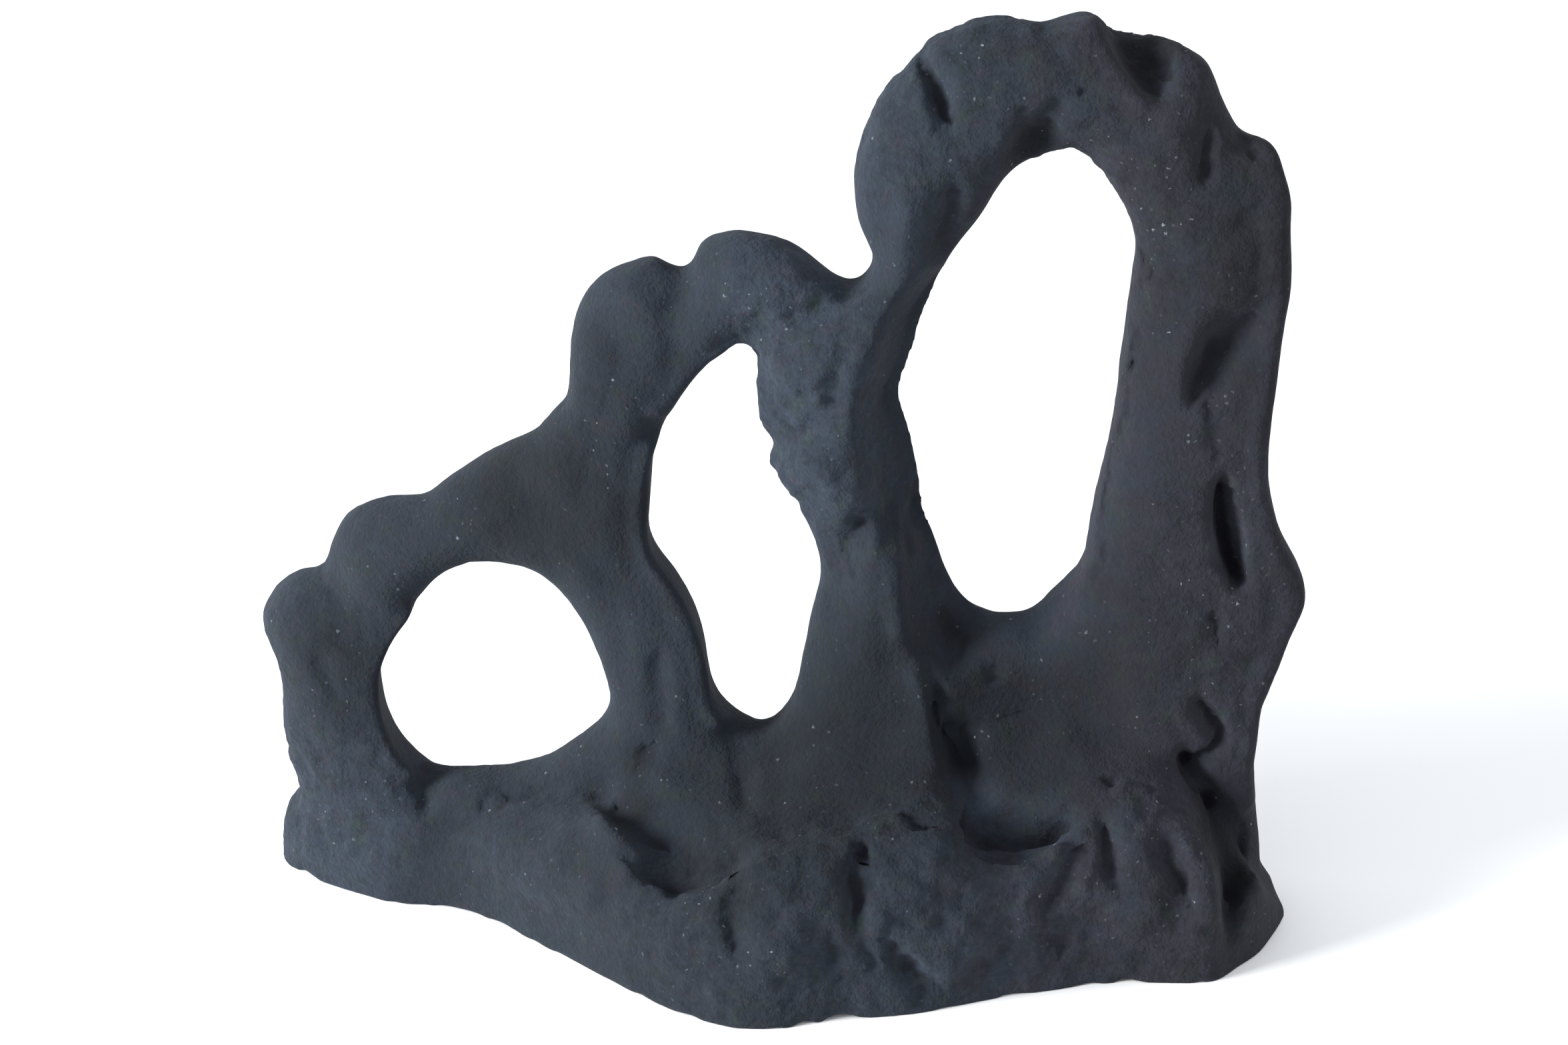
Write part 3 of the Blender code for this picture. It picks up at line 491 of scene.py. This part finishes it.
LEDGE_MARKS = [
    # hollows behind the rim of the ledge; their outer walls are steep
    dict(path=[(-34.5, 9, 45.5, 3.6), (-36, 7, 43, 3.8)], depth=1.2, lean=0.4, edge=1.6,
         ragged=0.2),
    dict(path=[(-42, -4, 34.5, 4.0), (-41, -11.5, 35, 4.8), (-36.5, -16, 33.5, 4.4),
               (-31, -18.5, 31.5, 3)], depth=1.8, into=FRONT_TOP, lean=0.5, ragged=0.2),
    dict(path=[(-37, -27, 31, 2.6), (-33, -28.5, 29, 4.4), (-27, -30, 26.7, 5.0),
               (-22, -29.7, 26.9, 3.8)], depth=1.1, into=FRONT_TOP, lean=0.5, ragged=0.2),
    dict(path=[(66, -24, 37.2, 2.6), (62, -27.2, 35.2, 4.4), (56, -28.9, 34.2, 5.4),
               (50, -28.9, 34.7, 5.2), (46.8, -28.8, 35.8, 3.6)], depth=2.8, into=FRONT_TOP,
         lean=-0.5, edge=0.9, ragged=0.3),
    dict(path=[(64, -18, 39.5, 4), (56, -18, 37.5, 5.5), (47, -16, 38.5, 5.5)], depth=-1.2,
         into=FRONT_TOP, edge=1.6),
    dict(path=[(36.5, -29, 41, 1.3), (32, -27, 42.4, 1.9), (28.5, -25, 43.2, 1.3)], depth=1.7,
         into=FRONT_TOP, lean=-0.3),
    dict(path=[(18, -38.5, 39.6, 3.4)], depth=1.7, into=FRONT_TOP),
    # the rim itself, raised and ragged, with a shallow trough behind it
    dict(path=[(26, -23, 44, 4), (12, -27, 42, 5.5), (-3, -30, 40, 5.5), (-13, -31, 38, 4)],
         depth=0.9, into=FRONT_TOP, lean=-0.5, ragged=0.6),
    dict(path=[(26, -29, 42.5, 3.2), (12, -34, 40, 4), (-4, -37.5, 38, 4), (-13, -39, 36, 3)],
         depth=-0.6, into=FRONT_TOP, edge=2.0),
    dict(path=[(-48, 0, 34.5, 3), (-47, -7, 36, 3.4), (-45.5, -14, 36, 3.8), (-40, -21, 35, 3.4),
               (-34, -24, 33, 3)], depth=-1.0, into=FRONT_TOP, edge=1.5),
    dict(path=[(-14.3, 9, 51, 4), (-12.7, 6.5, 45, 5.5), (-11, -2, 41.6, 5.5), (-9, -11, 38.7, 4)],
         depth=0.5, into=FRONT_TOP, lean=0.2, edge=2.0, ragged=0.4),
    dict(path=[(79, -13, 47.6, 2.2)], depth=1.2, into=FRONT_TOP),
    dict(path=[(81, -15, 45.5, 1.6), (88, -14, 45.5, 1.6)], depth=-0.7, into=FRONT_TOP)]
print("marks on the arches and the ledge:", len(LEFT_MARKS) + len(LEDGE_MARKS))

# %% Marks on the foot
FOOT_MARKS = [
    dict(path=[(19, -45, 18, 5), (16, -44, 36, 7)], depth=1.3, lean=-0.4, edge=1.5),
    dict(path=[(17.5, -46, 26, 2.4), (15.3, -44, 34, 3.6)], depth=1.1, lean=-0.3),
    dict(path=[(-12, -48, 22, 4.5), (-12.5, -44, 32, 5)], depth=1.4, lean=-0.4, edge=1.4),
    dict(path=[(11, -49, 12, 3.6), (11, -49, 21, 4)], depth=0.7, lean=-0.4, edge=1.4),
    dict(path=[(33.5, -43.5, 5, 2), (28.5, -45.5, 10, 3.2), (25, -46, 16.5, 2.2)], depth=1.0,
         lean=-0.65),
    dict(path=[(38, -42, 12, 5)], depth=-1.2, edge=1.3),
    dict(path=[(97.5, -28.6, 20.5, 1.4), (95, -27, 27, 2.0), (92, -25, 33, 1.3)], depth=1.0,
         lean=-0.4, ragged=0.4),
    dict(path=[(79, -27.5, 25.5, 2.2), (78.2, -27, 30.5, 3.7), (78, -26.4, 36, 2.6)], depth=1.6,
         lean=-0.4, ragged=0.4),
    dict(path=[(72, -27.5, 33, 2.6)], depth=0.7, edge=1.4),
    dict(path=[(62, -32.7, 22.5, 3), (66.5, -30, 27, 3.6), (70.5, -27.6, 33, 2.8)], depth=0.8,
         lean=-0.3, edge=1.3),
    dict(path=[(63.5, -33.6, 12.5, 2), (63, -33.6, 16.5, 3)], depth=1.2, lean=-0.3),
    dict(path=[(40, -38, 27, 7), (52, -36, 26, 7)], depth=1.2, edge=1.5),
    dict(path=[(45, -30, 31, 4.5)], depth=-1.0),
    dict(path=[(-45, -32, 20, 8)], depth=1.0, edge=1.6),
    dict(path=[(-28, -40, 16, 6), (-24, -42, 26, 5)], depth=-0.9, edge=1.5)]
print("marks on the foot:", len(FOOT_MARKS))

# %% Press them all
shifts = wobble(points_of(skin))
for marks in (BROAD_LUMPS, TOWER_MARKS, PILLAR_MARKS, LEFT_MARKS, LEDGE_MARKS, FOOT_MARKS):
    press_all(skin, marks, shifts)

# %% [markdown]
# ## Grit, grains and knobs
#
# The rock's face is a crust of sand and small gravel. Noise of several sizes moves the skin in
# and out along its own direction: knobs of a centimetre, clumps of gravel, coarse grains and sand.
# The crust isn't equally thick everywhere. It is coarse on the pillar between the windows, on the
# crown, on the right flank and on the front of the foot, and worn smooth on the left arches, in
# the scoop under the right window, on the ledge and on faces that look to the right.

# %% Where the crust is coarse
COARSE_ZONES = [                # (x, y, z, radius) in mm and how coarse, 0 to 1
    (5, 0, 150, 24, 1.0), (7, 0, 122, 22, 1.0), (20, 0, 90, 18, 0.5), (0, 4, 166, 18, 0.6),
    (40, 0, 212, 34, 0.8), (80, 0, 208, 34, 0.8), (105, 0, 182, 30, 0.7), (112, 0, 100, 34, 0.6),
    (114, 0, 62, 26, 0.8), (-8, -46, 18, 40, 1.0), (36, -42, 20, 40, 1.0), (88, -28, 20, 36, 1.0),
    (-118, 28, 18, 34, 0.8), (-120, 30, 60, 30, 0.5), (-60, 0, 16, 34, 0.6)]
SMOOTH_CRUST = 0.30             # how coarse the worn places are


def coarseness(points):
    """How coarse the crust is at each point, 0 to 1."""
    amount = np.full(len(points), SMOOTH_CRUST)
    for *centre, radius, coarse in COARSE_ZONES:
        near = 1.0 - fade(distance_to(points, centre), 0.6 * radius, 1.3 * radius)
        amount = np.maximum(amount, coarse * near)
    return amount


print("mean coarseness:", round(float(coarseness(points_of(skin)).mean()), 2))

# %% Move the skin
CRUST = [(14.0, 0.7), (7.0, 0.42), (4.2, 0.38), (2.2, 0.26), (1.5, 0.14)]   # size, height, mm
KNOBS = [(7.0, 0.32), (3.4, 0.28)]      # size and height of the knobs with steep sides, mm
KNOB_STEEPNESS = 3.0
SHELTERED = 0.75                # how much smoother the faces are that look to the right
GRAVEL_SIZE = 3.6               # mm between the pebbles
GRAVEL_MIDDLE = 0.45            # distance from a pebble, in pebble sizes, that stays at level
GRAVEL_HEIGHT = 0.35            # mm
LAYER_SHIFT = Vector((11.0, 5.0, 3.0))  # moves each layer's noise, so that no two line up
CALM_BASE = 3.0                 # mm above the ground over which the crust fades in

points = points_of(skin)
normals = normals_of(skin)
coarse = coarseness(points) * (1.0 - SHELTERED * fade(normals[:, 0], 0.3, 0.8))
heights = np.zeros(len(points))
for layer, (size, height) in enumerate(CRUST):
    shift = LAYER_SHIFT * (layer + 1)
    values = [noise.noise(Vector(point) / size + shift) for point in points]
    heights += np.array(values) * height * coarse
for size, height in KNOBS:
    values = np.array([noise.noise(Vector(point) / size) for point in points])
    heights += np.tanh(KNOB_STEEPNESS * values) * height * fade(coarse, 0.3, 1.0)
gravel = np.array([noise.voronoi(Vector(point) / GRAVEL_SIZE)[0][0] for point in points])
heights += (GRAVEL_MIDDLE - gravel) * GRAVEL_HEIGHT * fade(coarse, 0.4, 0.9)
above_floor = np.clip(points[:, 2] / CALM_BASE, 0.0, 1.0)
set_points(skin, points + normals * (heights * above_floor)[:, None])
print("crust from", round(heights.min(), 2), "to", round(heights.max(), 2), "mm")

# %% [markdown]
# ## Fewer triangles
#
# A decimation keeps the net dense where the skin is rough and thins it where it is smooth. The
# long thin triangles it leaves would shade like scratches, so every point that stays keeps the
# mean direction that the fine net has there.

# %% Thin the net
TRIANGLE_GOAL = 190000
NORMAL_SHARE = 9                # how many points of the fine net give their mean direction

fine_points, fine_normals = points_of(skin), normals_of(skin)
skin = evaluated(skin, ("DECIMATE", {"ratio": TRIANGLE_GOAL / (2 * len(skin.polygons))}))
skin.shade_smooth()
nearest = kdtree.KDTree(len(fine_points))
for number, point in enumerate(fine_points):
    nearest.insert(point, number)
nearest.balance()
skin.normals_split_custom_set_from_vertices(
    [fine_normals[[found[1] for found in nearest.find_n(point, NORMAL_SHARE)]].mean(axis=0)
     for point in points_of(skin)])
print("triangles:", sum(len(face.vertices) - 2 for face in skin.polygons))

# %% [markdown]
# ## Weathering and painted light
#
# Soft, broad differences follow the rock's own shape, so they are kept on its points as
# attributes: how pale the crust is, partly paler crust and partly painted light and painted shade;
# a brown tint that is painted shade colour; how deep a point lies in a hollow, how coarse the
# crust is and how many mineral specks lie there.
# Depth is measured against a much smoothed copy of the same net: where the skin lies behind the
# smooth copy it is in a hollow. Hollows are painted nearly black, as painted shade.

# %% Weathering and painted light attribute
# Paleness zones: partly paler crust, partly painted light and painted shade laid on places that lie
# in or out of the key light's shadow.
PALE_AND_PAINTED_LIGHT_ZONES = [                  # (x, y, z, radius) in mm and how much paler (above 0) or darker
    (4, 2, 150, 20, 0.30), (6, 2, 124, 20, 0.35), (-2, 4, 168, 16, 0.35), (-122, 34, 22, 34, 0.30),
    (22, 0, 184, 22, 0.15), (58, -6, 72, 34, -0.15), (8, -14, 46, 34, -0.55),
    (-62, 8, 110, 26, -0.52), (24, -2, 206, 20, 0.1), (-128, 34, 78, 12, 0.25),
    (44, -40, 16, 34, 0.30), (-28, -38, 22, 26, -0.18), (24, -2, 84, 16, -0.2),
    (58, -4, 56, 22, -0.32), (66, 0, 180, 40, -0.05), (0, 14, 171, 14, 0.4),
    (-36, 10, 163, 12, 0.2), (62, -34, 18, 20, 0.2), (45.5, -11, 38.5, 8, 0.5),
    (45, 8, 76, 7, -0.25), (85, 0, 76, 20, -0.15), (-112, 24, 58, 18, -0.38),
    (105, 0, 182, 30, -0.2), (81, 10, 219, 9, -0.6), (57, 6, 200, 8, -0.35),
    (109, -8, 23, 9, -0.9), (105, -15, 30, 7, -0.6), (92, -14, 38, 12, 0.3),
    (-45, 9, 143, 12, -0.25), (-35, 8, 108, 9, -0.25), (-36.5, 6, 41, 6, -0.35),
    (-54, -16, 30, 9, -0.2), (-21, -27, 28, 7, -0.15), (7, 10, 169, 8, 0.35),
    (57, 1, 88, 17, 0.75), (106.7, -7, 29, 7, -0.95), (-14, 8, 53, 8, 0.35),
    (113, 0, 172, 14, -0.25), (122, 0, 96, 12, -0.15), (108, 2, 147, 7, -0.3),
    (5, -49, 26, 7, 0.3), (-9, -44, 31, 7, -0.2), (-39, -5, 34, 8, -0.6),
    (105.5, -3, 33, 6, -0.8), (118, 0, 138, 12, -0.25), (107.5, 2, 104, 6, 0.7),
    (56, -28, 34, 8, -0.25), (-31, -26, 30, 6, 0.5), (-108, 24, 9, 16, 0.3)]
SPECK_ZONES = [                 # (x, y, z, radius) in mm and how many more specks lie there
    (-4, 2, 158, 13, 1.0), (-14, -48, 24, 16, 0.6), (44, 0, 216, 12, 0.5), (82, 0, 184, 12, 0.6),
    (-126, 30, 16, 18, 0.6), (112, 0, 94, 14, 0.5), (30, -44, 24, 12, 0.4), (88, -26, 30, 18, 0.4)]
# Painted shade colour: the stone turns browner to the right, the side away from the key light.
SHADE_BROWN_FROM_X = 12.0             # mm; the stone turns browner from here
SHADE_BROWN_TO_X = 105.0              # to here
HOLLOW_DEPTH = 2.6              # mm behind the smooth copy that counts as fully hollow
SMOOTH_COPY = {"factor": 0.5, "iterations": 160}


def weathering_and_painted_light(mesh):
    """Keeps paleness with painted light and shade, a brown tint of painted shade, hollowness,
    coarseness and specks on the mesh's points.
    """
    points = points_of(mesh)
    smooth = evaluated(mesh, ("SMOOTH", SMOOTH_COPY))
    behind = ((points_of(smooth) - points) * normals_of(smooth)).sum(axis=1)
    pale_and_painted_light = np.zeros(len(points))
    for *centre, radius, amount in PALE_AND_PAINTED_LIGHT_ZONES:
        pale_and_painted_light += amount * (1.0 - fade(distance_to(points, centre), 0.3 * radius, 1.5 * radius))
    # Painted shade colour: faces that look to the right, away from the key light, turn browner too.
    turned_right = fade(normals_of(smooth)[:, 0], -0.3, 0.7)
    shade_brown = 0.7 * fade(points[:, 0], SHADE_BROWN_FROM_X, SHADE_BROWN_TO_X) + 0.3 * turned_right
    # Painted shade: how deep a point lies in a hollow, used to darken it towards near-black.
    hollow = np.clip(behind / HOLLOW_DEPTH, 0.0, 1.0)
    layer = mesh.color_attributes.new("weathering_and_painted_light", "FLOAT_COLOR", "POINT")
    values = np.column_stack([0.5 + 0.5 * pale_and_painted_light, shade_brown, hollow, coarseness(points)])
    layer.data.foreach_set("color", values.ravel())
    specked = np.zeros(len(points))
    for *centre, radius, amount in SPECK_ZONES:
        near = 1.0 - fade(distance_to(points, centre), 0.4 * radius, 1.3 * radius)
        specked = np.maximum(specked, amount * near)
    mesh.attributes.new("specked", "FLOAT", "POINT").data.foreach_set("value", specked)
    return hollow


hollow = weathering_and_painted_light(skin)
print("share of points in a hollow:", round(float((hollow > 0.3).mean()), 3))

# %% [markdown]
# ## The stone
#
# Fine-grained dark basalt, weathered dry and sandy: very rough, hardly any gloss. Its colour is
# slate grey, greener on the left; the brown on the right and on faces turned right is painted
# shade colour, and the hollows are painted near-black shade. Every size of grain shows, from
# blotches of a centimetre to sand of half a millimetre, with pale mineral specks.

# %% Node tools
def add_node(tree, kind, inputs=None, **settings):
    """Adds one node and sets its properties; each input is a value or another node's socket."""
    node = tree.nodes.new(kind)
    for name, value in settings.items():
        setattr(node, name, value)
    for name, value in (inputs or {}).items():
        if isinstance(value, bpy.types.NodeSocket):
            tree.links.new(value, node.inputs[name])
        else:
            node.inputs[name].default_value = value
    return node


def math_node(tree, operation, first, second):
    """One sum of two values, each a socket or a number."""
    node = add_node(tree, "ShaderNodeMath", {0: first, 1: second}, operation=operation)
    return node.outputs["Value"]


def mixed(tree, share, first, second):
    """A mix of two colours; share 0 gives the first."""
    node = add_node(tree, "ShaderNodeMix", {0: share, 6: first, 7: second}, data_type="RGBA")
    return node.outputs[2]


def ramp(tree, value, low, high, start=0.0, end=1.0):
    """Turns value between low and high softly into start to end, clamped."""
    node = add_node(tree, "ShaderNodeMapRange",
                    {"Value": value, "From Min": low, "From Max": high,
                     "To Min": start, "To Max": end}, interpolation_type="SMOOTHSTEP")
    return node.outputs["Result"]


def noise_field(tree, place, size, seed, detail=1.0):
    """Soft noise around 0, about -0.5 to 0.5, with lumps of the given size in mm."""
    field = add_node(tree, "ShaderNodeTexNoise",
                     {"Vector": place, "Scale": 1.0 / (size * MM), "W": seed, "Detail": detail},
                     noise_dimensions="4D")
    return math_node(tree, "SUBTRACT", field.outputs["Fac"], 0.5)


print("a grain of 1 mm has the noise scale", round(1.0 / MM))


# %% Colour and grain of the stone
SLATE_BLUE = "#212831"
# The browner slate is a painted shade colour for the right end and faces turned right.
SHADED_SLATE_BROWN = "#24242C"
GREEN_TINT = "#232C2B"
VIOLET_TINT = "#29272F"
GRAINS = [(22.0, 0.30), (8.0, 0.32), (3.2, 0.50), (1.5, 0.70), (0.7, 0.60)]     # size mm, contrast
FINE_GRAIN = 4.0                # mm; smaller grains fade where the crust is worn smooth
DARKEST, PALEST = 0.33, 1.57    # how light the darkest and the palest zones are


def slate_colour(tree, place, shade_brown):
    """Slate grey that turns browner with the painted shade tint, with greenish and violet patches.
    """
    patch = noise_field(tree, place, 7.0, 3.0, 2.0)
    share = math_node(tree, "ADD", shade_brown, math_node(tree, "MULTIPLY", patch, 1.6))
    colour = mixed(tree, ramp(tree, share, 0.1, 0.9), linear(SLATE_BLUE), linear(SHADED_SLATE_BROWN))
    patch = noise_field(tree, place, 5.0, 7.0, 2.0)
    colour = mixed(tree, ramp(tree, patch, 0.0, 0.25, 0.0, 0.7), colour, linear(GREEN_TINT))
    patch = noise_field(tree, place, 4.0, 8.0, 2.0)
    return mixed(tree, ramp(tree, patch, 0.02, 0.25, 0.0, 0.6), colour, linear(VIOLET_TINT))


def lightness(tree, place, pale_and_painted_light, rough):
    """How light each spot is: the grains of every size, times the zone's paleness,
    which is partly painted light and painted shade.
    """
    light = 1.0
    for number, (size, contrast) in enumerate(GRAINS):
        grain = noise_field(tree, place, size, 11.0 + number)
        grain = math_node(tree, "MULTIPLY", grain, contrast)
        if size < FINE_GRAIN:
            grain = math_node(tree, "MULTIPLY", grain, rough)
        light = math_node(tree, "ADD", grain, light)
    return math_node(tree, "MULTIPLY", light, ramp(tree, pale_and_painted_light, 0.0, 1.0, DARKEST, PALEST))


print("grains, mm:", [size for size, _ in GRAINS])

# %% Specks and sand
SPECK_GREY = "#8A9198"
SPECK_CELL = 1.8                # mm between the cells that may hold a speck
SPECK_RADIUS = 0.42             # mm, of the largest specks
SAND_DEPTH = 0.45 * MM


def speck_share(tree, place):
    """How much a pale mineral speck covers each spot."""
    cells = add_node(tree, "ShaderNodeTexVoronoi",
                     {"Vector": place, "Scale": 1.0 / (SPECK_CELL * MM)})
    chance = add_node(tree, "ShaderNodeSeparateColor", {"Color": cells.outputs["Color"]})
    largest = SPECK_RADIUS / SPECK_CELL
    radius = ramp(tree, chance.outputs["Blue"], 0.0, 1.0, 0.4 * largest, largest)
    uneven = math_node(tree, "MULTIPLY", noise_field(tree, place, 0.5, 9.0), 0.7)
    distance = math_node(tree, "ADD", cells.outputs["Distance"], uneven)
    speck = ramp(tree, math_node(tree, "SUBTRACT", radius, distance), 0.0, 0.08)
    patch = math_node(tree, "MULTIPLY", noise_field(tree, place, 14.0, 5.0), 2.2)
    specked = add_node(tree, "ShaderNodeAttribute", attribute_name="specked").outputs["Fac"]
    likely = math_node(tree, "ADD", patch, specked)
    chosen = ramp(tree, math_node(tree, "ADD", chance.outputs["Red"], likely), 0.6, 1.2)
    speck = math_node(tree, "MULTIPLY", speck, chosen)
    brightness = math_node(tree, "POWER", chance.outputs["Green"], 4.0)
    brightness = math_node(tree, "MULTIPLY", brightness, 0.5)
    brightness = math_node(tree, "ADD", brightness, 0.06)
    return math_node(tree, "MULTIPLY", speck, brightness)


def sand_bump(tree, place):
    """The direction that coarse and fine sand give each spot."""
    fine = math_node(tree, "MULTIPLY", noise_field(tree, place, 0.6, 22.0), 0.5)
    height = math_node(tree, "ADD", noise_field(tree, place, 1.3, 21.0, 2.0), fine)
    bump = add_node(tree, "ShaderNodeBump",
                    {"Height": height, "Strength": 1.0, "Distance": SAND_DEPTH})
    return bump.outputs["Normal"]


print("largest speck, mm:", 2 * SPECK_RADIUS)

# %% Stone material
# Near-black painted shade that the hollows are mixed towards.
PAINTED_HOLLOW_SHADE = "#17161F"
STONE_FINISH = {"Roughness": 0.95, "IOR": 1.5, "Diffuse Roughness": 0.8,
                "Specular IOR Level": 0.25}


def basalt():
    """Dark basalt with a dry, sandy face: rough, hardly any gloss, pale mineral specks;
    painted shade in the hollows and painted light and shade in some zones.
    """
    material = bpy.data.materials.new("dry_sandy_basalt")
    material.use_nodes = True
    tree = material.node_tree
    shader = tree.nodes["Principled BSDF"]
    for name, value in STONE_FINISH.items():
        shader.inputs[name].default_value = value
    place = add_node(tree, "ShaderNodeTexCoord").outputs["Object"]
    weather_and_painted_light = add_node(tree, "ShaderNodeAttribute", attribute_name="weathering_and_painted_light")
    channels = add_node(tree, "ShaderNodeSeparateColor", {"Color": weather_and_painted_light.outputs["Color"]})
    pale_and_painted_light, shade_brown, hollow = (channels.outputs[name] for name in ("Red", "Green", "Blue"))
    rough = ramp(tree, weather_and_painted_light.outputs["Alpha"], 0.2, 0.9, 0.45, 1.0)

    grained = add_node(tree, "ShaderNodeVectorMath",
                       {0: slate_colour(tree, place, shade_brown),
                        "Scale": lightness(tree, place, pale_and_painted_light, rough)}, operation="SCALE")
    # Painted shade: the deeper a point lies in a hollow, the nearer its colour comes to near-black.
    stone = mixed(tree, ramp(tree, hollow, 0.1, 1.0, 0.0, 0.75), grained.outputs["Vector"],
                  linear(PAINTED_HOLLOW_SHADE))
    final = mixed(tree, speck_share(tree, place), stone, linear(SPECK_GREY))
    tree.links.new(final, shader.inputs["Base Color"])
    tree.links.new(sand_bump(tree, place), shader.inputs["Normal"])
    return material


# %% Dress the rock
skin.name = "rock_skin"
skin.materials.clear()
skin.materials.append(basalt())
rock = bpy.data.objects.new("rock_skin", skin)
scene.collection.objects.link(rock)
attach(rock, "root")
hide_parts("rock")
print("nodes in the stone:", len(skin.materials[0].node_tree.nodes))
